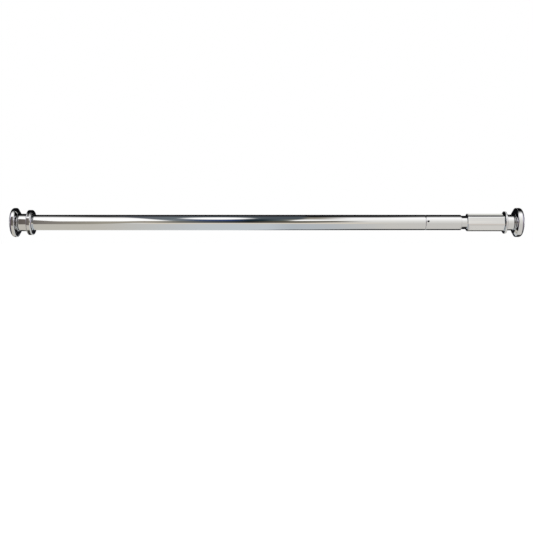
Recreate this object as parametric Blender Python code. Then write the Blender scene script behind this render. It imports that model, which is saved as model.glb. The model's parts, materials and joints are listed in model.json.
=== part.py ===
"""A telescoping chin-up bar that is wedged across a doorway.

A chromed tube turns in a cup with a rubber pad at its left end. At its right end a hexagonal sleeve turns a
hollow jack screw in a nut that is crimped inside the tube, which pushes the right cup out against the jamb.

Everything is turned about the X axis. The outer face of the left pad is x = 0 and the bar runs along +X. The
constants are in millimetres, and the meshes are in metres.
"""

import math

import bmesh
import bpy
from mathutils import Vector

MM = 0.001
GAP = 0.3
WELD = 1e-6
ALONG = (1.0, 0.0, 0.0)

# facets around the turned pieces
ROUND = 40
SMALL_ROUND = 28
THREAD_ROUND = 20
ARC_STEPS = 4

# the whole bar at its shortest
LENGTH = 843.0

# end cups, pressed from sheet and open towards the jamb
CUP_RADIUS = 24.0
CUP_SHEET = 1.6
CUP_LIP_X = 1.2
CUP_LIP_RADIUS = 18.8
CUP_CORNER_X = 8.8
CUP_CORNER = 1.8
CUP_BACK_X = 13.2
CUP_BACK_RADIUS = 18.2
CUP_BACK_INNER_RADIUS = 17.8
RIGHT_CUP_EXTRA = 1.8
CUP_LIP_CENTRE_X = 6.2
BOLT_HOLE_RADIUS = 4.2

# rubber pads
PAD_MOUTH_RADIUS = 17.0
PAD_FLANGE_RADIUS = 22.0
PAD_EDGE = 1.0
PAD_GROOVE_DEPTH = 0.8
PAD_GROOVE_WIDTH = 1.2
PAD_GROOVE_RADII = (6.5, 10.0, 13.5)
PAD_POCKET_RADIUS = 8.6
PAD_CENTRE_THICKNESS = 3.7

# swivel bolts with their washers and thrust rings
BOLT_RADIUS = 3.0
BOLT_HEAD_RADIUS = 5.2
BOLT_HEAD_X = 7.5
BOLT_HEAD_THICKNESS = 2.4
BOLT_TIP_X = 31.2
BOLT_SOCKET_FLATS = 4.0
BOLT_SOCKET_DEPTH = 1.5
WASHER_X = 10.2
WASHER_THICKNESS = 1.1
WASHER_RADIUS = 7.5
WASHER_HOLE_RADIUS = 3.4
RING_THICKNESS = 1.8
RING_RADIUS = 9.0

# left neck, which the main tube turns in
LEFT_NECK_RADIUS = 14.4
LEFT_NECK_BORE = 13.0
LEFT_FLANGE_RADIUS = 20.7
LEFT_FLANGE_X = (28.0, 37.0)
LEFT_FLANGE_EDGES = (1.5, 2.8)

# main tube
TUBE_RADIUS = 12.7
TUBE_BORE = 11.5
TUBE_X = (16.5, 741.3)
TUBE_CHAMFER = 0.3
TUBE_PLUG_LENGTH = 16.0

# rolled crimp and lock pin, which hold the nut in the tube
CRIMP_X = 682.7
CRIMP_HALF_WIDTH = 0.9
CRIMP_DEPTH = 0.5
PIN_X = 686.3
PIN_ANGLE = math.radians(8.6)
PIN_RADIUS = 1.3
PIN_TIP = 10.9
PIN_HEAD = 12.3
PIN_SOCKET_FLATS = 1.3
PIN_SOCKET_DEPTH = 0.8

# trapezoidal thread, right handed
PITCH = 5.0
SCREW_CREST = 9.5
SCREW_ROOT = 8.5
SCREW_OFFSETS = (0.0, 1.6, 2.5, 4.1)
NUT_CREST = 8.9
NUT_ROOT = 9.9
NUT_OFFSETS = (-0.05, 1.65, 2.55, 4.05)
THREAD_FADE_TURNS = 0.35
SCREW_THREAD_X = 575.5
SCREW_THREAD_TURNS = 26
NUT_THREAD_X = 680.5
NUT_THREAD_TURNS = 3

# nut, jack screw and the pieces that turn with it
NUT_X = (680.0, 704.0)
NUT_RADIUS = 11.2
NUT_GROOVE_HALF_WIDTH = 1.5
NUT_GROOVE_RADIUS = 10.6
SCREW_X = (527.0, 823.3)
SCREW_BORE = 6.2
SCREW_NOSE_RADIUS = 7.8
SCREW_SHOULDER_X = 544.0
CLIP_X = (528.5, 529.3)
CLIP_INNER = 7.3
CLIP_OUTER = 9.3
CLIP_GROOVE_RADIUS = 7.0
CLIP_MOUTH = 8.0
BUSH_INNER = 8.1
BUSH_OUTER = 11.2
SLIDE_X = (712.0, 825.0)
SLIDE_INNER = 9.85
SLIDE_OUTER = 11.15
END_PLUG_X = 806.0
END_PLUG_RADIUS = 5.9

# hexagonal sleeve and its lock screw
HEX_X = (751.3, 811.8)
HEX_FLATS = 27.0
HEX_BORE = 11.45
HEX_CHAMFER = 1.6
HEX_EDGE_ANGLE = math.radians(42.5)
LOCK_X = 781.3
LOCK_ANGLE = math.radians(192.5)
LOCK_RADIUS = 2.0
LOCK_SOCKET_FLATS = 2.4
LOCK_SOCKET_DEPTH = 1.6
LOCK_TIP = 8.8
LOCK_HEAD = 13.2
LOCK_POCKET = 8.5

# right neck, which the slide tube turns in
RIGHT_NECK_RADIUS = 13.1
RIGHT_NECK_BORE = 11.45
RIGHT_FLANGE_RADIUS = 18.5
RIGHT_FLANGE_X = (812.1, 815.6)
RIGHT_FLANGE_EDGE = 1.0
WEB_THICKNESS = 2.0

CHROME = ("chrome", (0.62, 0.62, 0.63), 0.08, 1.0)
PLATED_STEEL = ("plated_steel", (0.50, 0.50, 0.51), 0.30, 1.0)
DARK_STEEL = ("dark_steel", (0.05, 0.05, 0.055), 0.40, 1.0)
RUBBER = ("rubber", (0.030, 0.030, 0.032), 0.85, 0.0)
NYLON = ("nylon", (0.82, 0.80, 0.74), 0.45, 0.0)


def clear_scene():
    """Remove every object, mesh and material of the open file."""
    for obj in list(bpy.data.objects):
        bpy.data.objects.remove(obj, do_unlink=True)
    for mesh in list(bpy.data.meshes):
        bpy.data.meshes.remove(mesh)
    for material in list(bpy.data.materials):
        bpy.data.materials.remove(material)


def material(finish):
    """Return the Principled material for a finish, made once."""
    name, colour, roughness, metallic = finish
    found = bpy.data.materials.get(name)
    if found:
        return found
    made = bpy.data.materials.new(name)
    made.use_nodes = True
    shader = made.node_tree.nodes["Principled BSDF"]
    shader.inputs["Base Color"].default_value = (*colour, 1.0)
    shader.inputs["Roughness"].default_value = roughness
    shader.inputs["Metallic"].default_value = metallic
    return made


def add_object(name, bm, finish=None, parent=None):
    """Turn a bmesh into an object, shaded smooth except at its sharp edges."""
    bmesh.ops.recalc_face_normals(bm, faces=bm.faces)
    mesh = bpy.data.meshes.new(name)
    bm.to_mesh(mesh)
    bm.free()
    mesh.shade_smooth()
    mesh.set_sharp_from_angle(angle=math.radians(35.0))
    obj = bpy.data.objects.new(name, mesh)
    bpy.context.scene.collection.objects.link(obj)
    obj.parent = parent
    if finish:
        mesh.materials.append(material(finish))
    return obj


def joint_frame(name):
    """Add an empty on the X axis that the pieces of one moving body hang from."""
    empty = bpy.data.objects.new(name, None)
    empty.empty_display_type = "ARROWS"
    empty.empty_display_size = 0.03
    bpy.context.scene.collection.objects.link(empty)
    return empty


def arc(centre, radii, start, end, steps=ARC_STEPS):
    """Points of an elliptical arc in the (x, radius) plane, with the angles in degrees from +x."""
    points = []
    for step in range(steps + 1):
        angle = math.radians(start + (end - start) * step / steps)
        points.append((centre[0] + radii[0] * math.cos(angle), centre[1] + radii[1] * math.sin(angle)))
    return points


def flipped(outline):
    """The same outline at the other end of the bar, where everything behind the lip lies a little deeper."""
    deep = CUP_LIP_CENTRE_X + 0.1
    return [(LENGTH - x - (RIGHT_CUP_EXTRA if x > deep else 0.0), radius) for x, radius in outline]


def turned(name, outline, finish, parent, segments=ROUND):
    """Spin a closed outline of (x, radius) points about the X axis."""
    bm = bmesh.new()
    corners = [bm.verts.new((x * MM, 0.0, radius * MM)) for x, radius in outline]
    edges = []
    for first, second in zip(corners, corners[1:] + corners[:1]):
        if first.co.z > 0.0 or second.co.z > 0.0:
            edges.append(bm.edges.new((first, second)))
    bmesh.ops.spin(
        bm, geom=corners + edges, axis=(1.0, 0.0, 0.0), cent=(0.0, 0.0, 0.0),
        angle=2.0 * math.pi, steps=segments, use_merge=True,
    )
    bmesh.ops.remove_doubles(bm, verts=bm.verts, dist=WELD)
    return add_object(name, bm, finish, parent)


def tube_outline(x_range, inner, outer, chamfer=0.0):
    """Outline of a plain tube, with chamfered outer edges."""
    start, end = x_range
    if not chamfer:
        return [(start, inner), (start, outer), (end, outer), (end, inner)]
    return [
        (start, inner), (start, outer - chamfer), (start + chamfer, outer),
        (end - chamfer, outer), (end, outer - chamfer), (end, inner),
    ]


def radial_direction(angle):
    """Unit vector away from the X axis, at an angle measured upwards from the front, which is -Y."""
    return Vector((0.0, -math.cos(angle), math.sin(angle)))


def prism(name, sides, radius, start, end, corner=None):
    """A regular prism or cylinder between two points, in millimetres, with one corner in a given direction."""
    start = Vector(start)
    end = Vector(end)
    axis = (end - start).normalized()
    across = Vector(corner).normalized() if corner else axis.orthogonal().normalized()
    upward = axis.cross(across)
    bm = bmesh.new()
    rings = []
    for point in (start, end):
        ring = []
        for side in range(sides):
            angle = 2.0 * math.pi * side / sides
            offset = across * math.cos(angle) + upward * math.sin(angle)
            ring.append(bm.verts.new((point + offset * radius) * MM))
        rings.append(ring)
    bm.faces.new(rings[0])
    bm.faces.new(rings[1])
    for side in range(sides):
        after = (side + 1) % sides
        bm.faces.new((rings[0][side], rings[0][after], rings[1][after], rings[1][side]))
    return add_object(name, bm)


def cut(target, cutter, operation="DIFFERENCE"):
    """Cut the target with a hidden solid that stays in the file."""
    cutter.hide_render = True
    cutter.display_type = "WIRE"
    modifier = target.modifiers.new(cutter.name, "BOOLEAN")
    modifier.operation = operation
    modifier.solver = "EXACT"
    modifier.object = cutter


def radial_hole(target, name, x, angle, radius, inner, outer):
    """Cut a round hole into the target from the side."""
    direction = radial_direction(angle)
    middle = Vector((x, 0.0, 0.0))
    cutter = prism(name, SMALL_ROUND, radius, middle + direction * inner, middle + direction * outer, ALONG)
    cut(target, cutter)


def radial_screw(name, finish, parent, x, angle, radius, tip, head, flats, depth):
    """A short headless screw that points at the X axis, with a hexagonal socket."""
    direction = radial_direction(angle)
    middle = Vector((x, 0.0, 0.0))
    screw = prism(name, SMALL_ROUND, radius, middle + direction * tip, middle + direction * head, ALONG)
    screw.data.materials.append(material(finish))
    screw.parent = parent
    corner = flats / math.sqrt(3.0)
    bottom = middle + direction * (head - depth)
    socket = prism(name + "_socket", 6, corner, bottom, middle + direction * (head + 1.0), ALONG)
    cut(screw, socket)
    return screw


def threaded(name, finish, parent, start_x, turns, offsets, plain, deep, rest, segments=THREAD_ROUND):
    """A turned body whose side between the ends of the outline `rest` is a helical thread.

    The grid of the thread runs along the helix, so its column 0 meets its last column one turn further on. The
    thread fades to the plain radius before it reaches the end rings. `rest` starts at the ring after the thread,
    and runs round the body to the ring before it.
    """
    bm = bmesh.new()
    rows = len(offsets)
    last_row = rows * turns
    depths = (0.0, 0.0, 1.0, 1.0)

    def grid_vert(column, row):
        turn = row // rows + column / segments
        fade = min(turn - 1.0, turns - turn) / THREAD_FADE_TURNS
        fade = max(0.0, min(1.0, fade))
        radius = plain + (deep - plain) * depths[row % rows] * fade
        x = start_x + PITCH * turn + offsets[row % rows]
        return ring_vert(column, x, radius)

    def ring_vert(column, x, radius):
        angle = 2.0 * math.pi * column / segments
        return bm.verts.new((x * MM, radius * math.cos(angle) * MM, radius * math.sin(angle) * MM))

    grid = {}
    for column in range(segments):
        extra = rows if column == 0 else 0
        for row in range(last_row + extra + 1):
            grid[column, row] = grid_vert(column, row)
    for row in range(last_row + 1):
        grid[segments, row] = grid[0, row + rows]

    for column in range(segments):
        for row in range(last_row):
            bm.faces.new((
                grid[column, row], grid[column + 1, row],
                grid[column + 1, row + 1], grid[column, row + 1],
            ))

    rings = [[ring_vert(column, x, radius) for column in range(segments)] for x, radius in rest]
    for before, after in zip(rings, rings[1:]):
        for column in range(segments):
            following = (column + 1) % segments
            bm.faces.new((before[column], before[following], after[following], after[column]))

    end_ring = rings[0]
    start_ring = rings[-1]
    for column in range(segments):
        following = (column + 1) % segments
        start_face = [start_ring[column], start_ring[following], grid[column + 1, 0], grid[column, 0]]
        end_face = [end_ring[following], end_ring[column], grid[column, last_row], grid[column + 1, last_row]]
        if column == segments - 1:
            start_face[2:2] = [grid[0, row] for row in range(rows)]
        if column == 0:
            end_face[2:2] = [grid[0, last_row + rows - step] for step in range(rows)]
        bm.faces.new(start_face)
        bm.faces.new(end_face)
    return add_object(name, bm, finish, parent)


def cup_outline():
    """Section of the left cup: a dished back, a rounded corner and a lip that turns in at the mouth."""
    inner_corner = CUP_CORNER - CUP_SHEET
    corner = (CUP_CORNER_X, CUP_RADIUS - CUP_CORNER)
    lip = (CUP_LIP_CENTRE_X, CUP_LIP_RADIUS)
    lip_radii = (CUP_LIP_CENTRE_X - CUP_LIP_X, CUP_RADIUS - CUP_LIP_RADIUS)
    inner_lip_radii = (lip_radii[0] - CUP_SHEET, lip_radii[1] - CUP_SHEET)
    outline = arc(lip, lip_radii, 180.0, 90.0)
    outline += arc(corner, (CUP_CORNER, CUP_CORNER), 90.0, 30.0)
    outline += [(CUP_BACK_X, CUP_BACK_RADIUS), (CUP_BACK_X, BOLT_HOLE_RADIUS)]
    outline += [(CUP_BACK_X - CUP_SHEET, BOLT_HOLE_RADIUS), (CUP_BACK_X - CUP_SHEET, CUP_BACK_INNER_RADIUS)]
    outline += arc(corner, (inner_corner, inner_corner), 30.0, 90.0, steps=2)
    outline += arc(lip, inner_lip_radii, 90.0, 180.0)
    return outline


def pad_outline():
    """Section of the left pad: ring grooves in its face, a flange inside the cup, a pocket for the bolt."""
    back = CUP_CORNER_X - GAP
    outline = [(0.0, 0.0)]
    for radius in PAD_GROOVE_RADII:
        outline += [
            (0.0, radius), (PAD_GROOVE_DEPTH, radius),
            (PAD_GROOVE_DEPTH, radius + PAD_GROOVE_WIDTH), (0.0, radius + PAD_GROOVE_WIDTH),
        ]
    outline += arc((PAD_EDGE, PAD_MOUTH_RADIUS - PAD_EDGE), (PAD_EDGE, PAD_EDGE), 180.0, 90.0, steps=3)
    outline += [
        (CUP_LIP_X + CUP_SHEET, PAD_MOUTH_RADIUS),
        (CUP_LIP_X + CUP_SHEET + 3.0 * GAP, PAD_FLANGE_RADIUS - 1.5),
        (CUP_LIP_CENTRE_X, PAD_FLANGE_RADIUS),
        (back - 0.7, PAD_FLANGE_RADIUS),
        (back, PAD_FLANGE_RADIUS - 0.8),
        (back, PAD_POCKET_RADIUS),
        (PAD_CENTRE_THICKNESS, PAD_POCKET_RADIUS),
        (PAD_CENTRE_THICKNESS, 0.0),
    ]
    return outline


def bolt_outline():
    """Section of the left swivel bolt, with a button head inside the cup."""
    under_head = BOLT_HEAD_X + BOLT_HEAD_THICKNESS
    return [
        (BOLT_HEAD_X, 0.0), (BOLT_HEAD_X, BOLT_HEAD_RADIUS - 1.2),
        (BOLT_HEAD_X + 0.5, BOLT_HEAD_RADIUS - 0.4), (BOLT_HEAD_X + 1.2, BOLT_HEAD_RADIUS),
        (under_head, BOLT_HEAD_RADIUS), (under_head, BOLT_RADIUS),
        (BOLT_TIP_X - 0.6, BOLT_RADIUS), (BOLT_TIP_X, BOLT_RADIUS - 0.6), (BOLT_TIP_X, 0.0),
    ]


def swivel_bolt(name, parent, place):
    """A swivel bolt with a hexagonal socket in its head; `place` moves the outline to its end of the bar."""
    bolt = turned(name, place(bolt_outline()), PLATED_STEEL, parent, SMALL_ROUND)
    corner = BOLT_SOCKET_FLATS / math.sqrt(3.0)
    (mouth, _), (bottom, _) = place([(BOLT_HEAD_X - 1.0, 0.0), (BOLT_HEAD_X + BOLT_SOCKET_DEPTH, 0.0)])
    cut(bolt, prism(name + "_socket", 6, corner, (mouth, 0.0, 0.0), (bottom, 0.0, 0.0)))


def end_fittings(side, parent, place):
    """The cup of one end, with its rubber pad and the washer under the bolt head."""
    turned(side + "_rubber_pad", place(pad_outline()), RUBBER, parent)
    turned(side + "_end_cup", place(cup_outline()), CHROME, parent)
    washer = tube_outline((WASHER_X, WASHER_X + WASHER_THICKNESS), WASHER_HOLE_RADIUS, WASHER_RADIUS)
    turned(side + "_washer", place(washer), PLATED_STEEL, parent, SMALL_ROUND)


def thrust_ring(side, parent, place):
    """The nylon ring that takes the end load where a tube turns against the web of its neck."""
    start = CUP_BACK_X + GAP + WEB_THICKNESS + GAP
    ring = tube_outline((start, start + RING_THICKNESS), WASHER_HOLE_RADIUS, RING_RADIUS)
    turned(side + "_thrust_ring", place(ring), NYLON, parent, SMALL_ROUND)


def left_neck(parent):
    """The flanged neck that the main tube turns in."""
    web = CUP_BACK_X + GAP
    flange_start, flange_end = LEFT_FLANGE_X
    start_edge, end_edge = LEFT_FLANGE_EDGES
    outline = [(web, BOLT_HOLE_RADIUS)]
    outline += arc((web + 1.0, LEFT_NECK_RADIUS - 1.0), (1.0, 1.0), 180.0, 90.0, steps=2)
    outline += arc((flange_start - 1.2, LEFT_NECK_RADIUS + 1.2), (1.2, 1.2), 270.0, 360.0, steps=3)
    start_corner = (flange_start + start_edge, LEFT_FLANGE_RADIUS - start_edge)
    end_corner = (flange_end - end_edge, LEFT_FLANGE_RADIUS - end_edge)
    outline += arc(start_corner, (start_edge, start_edge), 180.0, 90.0)
    outline += arc(end_corner, (end_edge, end_edge), 90.0, 0.0)
    outline += [
        (flange_end, LEFT_NECK_BORE), (web + WEB_THICKNESS, LEFT_NECK_BORE),
        (web + WEB_THICKNESS, BOLT_HOLE_RADIUS),
    ]
    turned("left_flanged_neck", outline, CHROME, parent)


def right_neck(parent):
    """The flanged neck that the slide tube turns in."""
    web = LENGTH - CUP_BACK_X - RIGHT_CUP_EXTRA - GAP
    flange_start, flange_end = RIGHT_FLANGE_X
    edge = RIGHT_FLANGE_EDGE
    rim = RIGHT_FLANGE_RADIUS - edge
    outline = [(flange_start, RIGHT_NECK_BORE)]
    outline += arc((flange_start + edge, rim), (edge, edge), 180.0, 90.0, steps=3)
    outline += arc((flange_end - edge, rim), (edge, edge), 90.0, 0.0, steps=3)
    outline += arc((flange_end + 1.0, RIGHT_NECK_RADIUS + 1.0), (1.0, 1.0), 180.0, 270.0, steps=2)
    outline += arc((web - 1.0, RIGHT_NECK_RADIUS - 1.0), (1.0, 1.0), 90.0, 0.0, steps=2)
    outline += [
        (web, BOLT_HOLE_RADIUS), (web - WEB_THICKNESS, BOLT_HOLE_RADIUS),
        (web - WEB_THICKNESS, RIGHT_NECK_BORE),
    ]
    turned("right_flanged_neck", outline, CHROME, parent)


def main_tube(parent):
    """The long tube that the hands hold, with its rolled crimp and the hole of the lock pin."""
    start, end = TUBE_X
    crimp = (-CRIMP_HALF_WIDTH, -0.5 * CRIMP_HALF_WIDTH, 0.0, 0.5 * CRIMP_HALF_WIDTH, CRIMP_HALF_WIDTH)
    dips = (0.0, 0.7, 1.0, 0.7, 0.0)
    outline = [(start, TUBE_BORE), (start, TUBE_RADIUS - TUBE_CHAMFER), (start + TUBE_CHAMFER, TUBE_RADIUS)]
    outline += [(CRIMP_X + x, TUBE_RADIUS - CRIMP_DEPTH * dip) for x, dip in zip(crimp, dips)]
    outline += [(end - TUBE_CHAMFER, TUBE_RADIUS), (end, TUBE_RADIUS - TUBE_CHAMFER), (end, TUBE_BORE)]
    outline += [(CRIMP_X - x, TUBE_BORE - CRIMP_DEPTH * dip) for x, dip in zip(crimp, dips)]
    tube = turned("main_tube", outline, CHROME, parent)
    radial_hole(tube, "pin_hole", PIN_X, PIN_ANGLE, PIN_RADIUS + GAP, PIN_TIP - GAP, TUBE_RADIUS + 1.0)


def tube_plug(parent):
    """The steel plug in the left end of the main tube, which the swivel bolt is screwed into."""
    start = CUP_BACK_X + WEB_THICKNESS + RING_THICKNESS + 3.0 * GAP
    outline = tube_outline((start, start + TUBE_PLUG_LENGTH), BOLT_RADIUS + GAP, TUBE_BORE - GAP, 0.6)
    turned("left_tube_plug", outline, PLATED_STEEL, parent)


def thread_nut(parent):
    """The bush with the inside thread, grooved where the crimp of the tube holds it."""
    start, end = NUT_X
    left = CRIMP_X - NUT_GROOVE_HALF_WIDTH
    right = CRIMP_X + NUT_GROOVE_HALF_WIDTH
    rest = [
        (end, NUT_ROOT), (end, NUT_RADIUS), (right + 0.6, NUT_RADIUS), (right, NUT_GROOVE_RADIUS),
        (left, NUT_GROOVE_RADIUS), (left - 0.6, NUT_RADIUS), (start, NUT_RADIUS), (start, NUT_ROOT),
    ]
    nut = threaded(
        "thread_nut", PLATED_STEEL, parent, NUT_THREAD_X, NUT_THREAD_TURNS, NUT_OFFSETS,
        NUT_ROOT, NUT_CREST, rest,
    )
    radial_hole(nut, "pin_pocket", PIN_X, PIN_ANGLE, PIN_RADIUS + GAP, PIN_TIP - GAP, NUT_RADIUS + 1.0)


def jack_screw(parent):
    """The hollow screw, with a turned-down nose for the glide bush and a pocket for the lock screw."""
    nose, end = SCREW_X
    groove_left = CLIP_X[0] - GAP
    groove_right = CLIP_X[1] + GAP
    rest = [
        (end - 0.6, SCREW_CREST), (end, SCREW_CREST - 0.6), (end, SCREW_BORE), (nose, SCREW_BORE),
        (nose, SCREW_NOSE_RADIUS - 0.4), (nose + 0.4, SCREW_NOSE_RADIUS), (groove_left, SCREW_NOSE_RADIUS),
        (groove_left, CLIP_GROOVE_RADIUS), (groove_right, CLIP_GROOVE_RADIUS),
        (groove_right, SCREW_NOSE_RADIUS), (SCREW_SHOULDER_X, SCREW_NOSE_RADIUS),
        (SCREW_SHOULDER_X, SCREW_CREST), (SCREW_THREAD_X - 1.0, SCREW_CREST),
    ]
    screw = threaded(
        "jack_screw", PLATED_STEEL, parent, SCREW_THREAD_X, SCREW_THREAD_TURNS, SCREW_OFFSETS,
        SCREW_CREST, SCREW_ROOT, rest,
    )
    radial_hole(screw, "lock_pocket", LOCK_X, LOCK_ANGLE, LOCK_RADIUS + GAP, LOCK_POCKET, SCREW_CREST + 1.0)


def glide_bush(parent):
    """The nylon bush that keeps the nose of the screw in the middle of the tube."""
    outline = tube_outline((CLIP_X[1] + GAP, SCREW_SHOULDER_X - GAP), BUSH_INNER, BUSH_OUTER, 0.8)
    turned("glide_bush", outline, NYLON, parent)


def glide_clip(parent):
    """The open spring clip that holds the glide bush on."""
    clip = turned("glide_clip", tube_outline(CLIP_X, CLIP_INNER, CLIP_OUTER), DARK_STEEL, parent, SMALL_ROUND)
    middle = 0.5 * (CLIP_X[0] + CLIP_X[1])
    corner = CLIP_MOUTH / math.sqrt(2.0)
    below = (middle, 0.0, -CLIP_OUTER - 1.0)
    mouth = prism("clip_mouth", 4, corner, below, (middle, 0.0, 0.0), (1.0, 1.0, 0.0))
    cut(clip, mouth)


def slide_tube(parent):
    """The smooth tube around the screw, which the hexagonal sleeve and the lock screw are fixed to."""
    tube = turned("slide_tube", tube_outline(SLIDE_X, SLIDE_INNER, SLIDE_OUTER, TUBE_CHAMFER), CHROME, parent)
    radial_hole(tube, "slide_hole", LOCK_X, LOCK_ANGLE, LOCK_RADIUS + GAP, LOCK_POCKET, SLIDE_OUTER + 1.0)


def hex_sleeve(parent):
    """The sleeve that a hand or a spanner turns: a chamfered bar cut to six flats."""
    start, end = HEX_X
    corner = HEX_FLATS / math.sqrt(3.0)
    outline = tube_outline(HEX_X, HEX_BORE, corner + 0.2, HEX_CHAMFER)
    sleeve = turned("hex_sleeve", outline, CHROME, parent)
    edge = radial_direction(HEX_EDGE_ANGLE)
    flats = prism("hex_flats", 6, corner, (start - 1.0, 0.0, 0.0), (end + 1.0, 0.0, 0.0), edge)
    cut(sleeve, flats, "INTERSECT")
    radial_hole(sleeve, "sleeve_hole", LOCK_X, LOCK_ANGLE, LOCK_RADIUS + GAP, HEX_BORE - 1.0, corner + 1.0)


def screw_end_plug(parent):
    """The steel plug in the right end of the screw, which the swivel bolt is screwed into."""
    outline = tube_outline((END_PLUG_X, SCREW_X[1]), BOLT_RADIUS + GAP, END_PLUG_RADIUS, 0.5)
    turned("screw_end_plug", outline, PLATED_STEEL, parent, SMALL_ROUND)


def as_drawn(outline):
    """Leave an outline at the left end, where it is drawn."""
    return outline


def build():
    """Model the bar, body by body."""
    clear_scene()
    left_end = joint_frame("left_end_frame")
    bar = joint_frame("bar_frame")
    screw = joint_frame("screw_frame")
    right_end = joint_frame("right_end_frame")

    end_fittings("left", left_end, as_drawn)
    left_neck(left_end)

    main_tube(bar)
    tube_plug(bar)
    swivel_bolt("left_pivot_bolt", bar, as_drawn)
    thrust_ring("left", bar, as_drawn)
    thread_nut(bar)
    radial_screw(
        "nut_lock_pin", DARK_STEEL, bar, PIN_X, PIN_ANGLE, PIN_RADIUS, PIN_TIP, PIN_HEAD,
        PIN_SOCKET_FLATS, PIN_SOCKET_DEPTH,
    )

    jack_screw(screw)
    slide_tube(screw)
    hex_sleeve(screw)
    radial_screw(
        "hex_lock_screw", DARK_STEEL, screw, LOCK_X, LOCK_ANGLE, LOCK_RADIUS, LOCK_TIP, LOCK_HEAD,
        LOCK_SOCKET_FLATS, LOCK_SOCKET_DEPTH,
    )
    glide_bush(screw)
    glide_clip(screw)
    screw_end_plug(screw)
    swivel_bolt("right_pivot_bolt", screw, flipped)
    thrust_ring("right", screw, flipped)

    right_neck(right_end)
    end_fittings("right", right_end, flipped)


build()
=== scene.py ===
"""A chromed telescoping chin-up bar in a plain pale studio.

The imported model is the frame: every piece is placed by its node's box and rides on its body. The bar lies
along +X, +Z is up and the camera stands at -Y. The pieces' sizes are in millimetres, and those of the studio
and of the finished meshes in metres.
"""

import json
import math

import bmesh
import bpy
import numpy as np
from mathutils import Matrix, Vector


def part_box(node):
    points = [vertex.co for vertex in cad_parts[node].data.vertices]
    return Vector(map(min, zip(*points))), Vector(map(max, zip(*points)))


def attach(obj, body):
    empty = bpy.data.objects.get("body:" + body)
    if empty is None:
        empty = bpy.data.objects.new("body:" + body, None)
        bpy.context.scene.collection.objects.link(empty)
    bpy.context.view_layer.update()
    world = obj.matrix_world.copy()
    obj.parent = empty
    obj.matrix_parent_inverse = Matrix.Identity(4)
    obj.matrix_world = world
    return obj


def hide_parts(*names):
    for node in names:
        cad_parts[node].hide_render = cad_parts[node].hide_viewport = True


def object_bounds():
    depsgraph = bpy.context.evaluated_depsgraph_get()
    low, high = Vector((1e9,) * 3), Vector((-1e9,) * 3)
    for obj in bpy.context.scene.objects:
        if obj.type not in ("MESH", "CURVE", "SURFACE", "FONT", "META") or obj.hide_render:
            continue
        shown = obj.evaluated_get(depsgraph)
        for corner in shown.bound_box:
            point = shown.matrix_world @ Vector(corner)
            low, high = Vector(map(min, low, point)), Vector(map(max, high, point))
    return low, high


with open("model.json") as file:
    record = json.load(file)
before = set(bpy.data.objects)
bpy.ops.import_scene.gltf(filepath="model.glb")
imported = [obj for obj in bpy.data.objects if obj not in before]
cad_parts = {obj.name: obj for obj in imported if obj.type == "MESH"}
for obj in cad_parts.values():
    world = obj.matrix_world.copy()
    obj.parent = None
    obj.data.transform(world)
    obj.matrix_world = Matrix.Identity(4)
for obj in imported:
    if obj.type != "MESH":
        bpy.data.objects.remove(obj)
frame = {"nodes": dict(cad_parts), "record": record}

CAD_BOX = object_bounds()
MM = 0.001

# how finely the round pieces are turned
ROUND = 192
TUBE_ROUND = 288
SMALL_ROUND = 64
FILLET_STEPS = 5
SUPPORT = 0.3 * MM

BAR_LENGTH = CAD_BOX[1][0] - CAD_BOX[0][0]
PAD_FACE_LEFT = CAD_BOX[0][0]


# ---------------------------------------------------------------- shapes

def span(node):
    """A turned node's first and last x, and its outer radius."""
    low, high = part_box(node)
    return low[0], high[0], high[2]


def rounded(outline):
    """Round the corners of an outline of (x, radius, fillet) points with true arcs."""
    points = []
    count = len(outline)
    for index, (x, radius, fillet) in enumerate(outline):
        corner = Vector((x, radius))
        if fillet <= 0.0:
            points.append((x, radius))
            continue
        before = Vector(outline[index - 1][:2]) - corner
        after = Vector(outline[(index + 1) % count][:2]) - corner
        before.normalize()
        after.normalize()
        half = 0.5 * before.angle(after)
        middle = (before + after).normalized()
        centre = corner + middle * (fillet / math.sin(half))
        start = corner + before * (fillet / math.tan(half)) - centre
        end = corner + after * (fillet / math.tan(half)) - centre
        sweep = start.angle(end)
        for step in range(FILLET_STEPS + 1):
            share = step / FILLET_STEPS
            mix = start * math.sin((1.0 - share) * sweep) + end * math.sin(share * sweep)
            point = centre + mix / math.sin(sweep)
            points.append((point.x, point.y))
    return points


def arc(centre, radii, start, end, steps=14):
    """Points of an elliptical arc in the (x, radius) plane, with the angles in degrees from +x."""
    points = []
    for step in range(steps + 1):
        angle = math.radians(start + (end - start) * step / steps)
        points.append((centre[0] + radii[0] * math.cos(angle), centre[1] + radii[1] * math.sin(angle)))
    return points


def as_object(name, bm, sharp=40.0):
    """Turn a bmesh into a smooth object, sharp only at its hard edges."""
    bmesh.ops.recalc_face_normals(bm, faces=bm.faces)
    mesh = bpy.data.meshes.new(name)
    bm.to_mesh(mesh)
    bm.free()
    mesh.shade_smooth()
    mesh.set_sharp_from_angle(angle=math.radians(sharp))
    obj = bpy.data.objects.new(name, mesh)
    bpy.context.scene.collection.objects.link(obj)
    return obj


def supported(outline):
    """Add a point near both ends of each long straight run, which stays straight when shaded smooth."""
    points = []
    for index, start in enumerate(outline):
        points.append(start)
        end = outline[(index + 1) % len(outline)]
        length = math.dist(start, end)
        if length > 4.0 * SUPPORT and (start[1] or end[1]):
            for share in (SUPPORT / length, 1.0 - SUPPORT / length):
                points.append(tuple(a + (b - a) * share for a, b in zip(start, end)))
    return points


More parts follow.
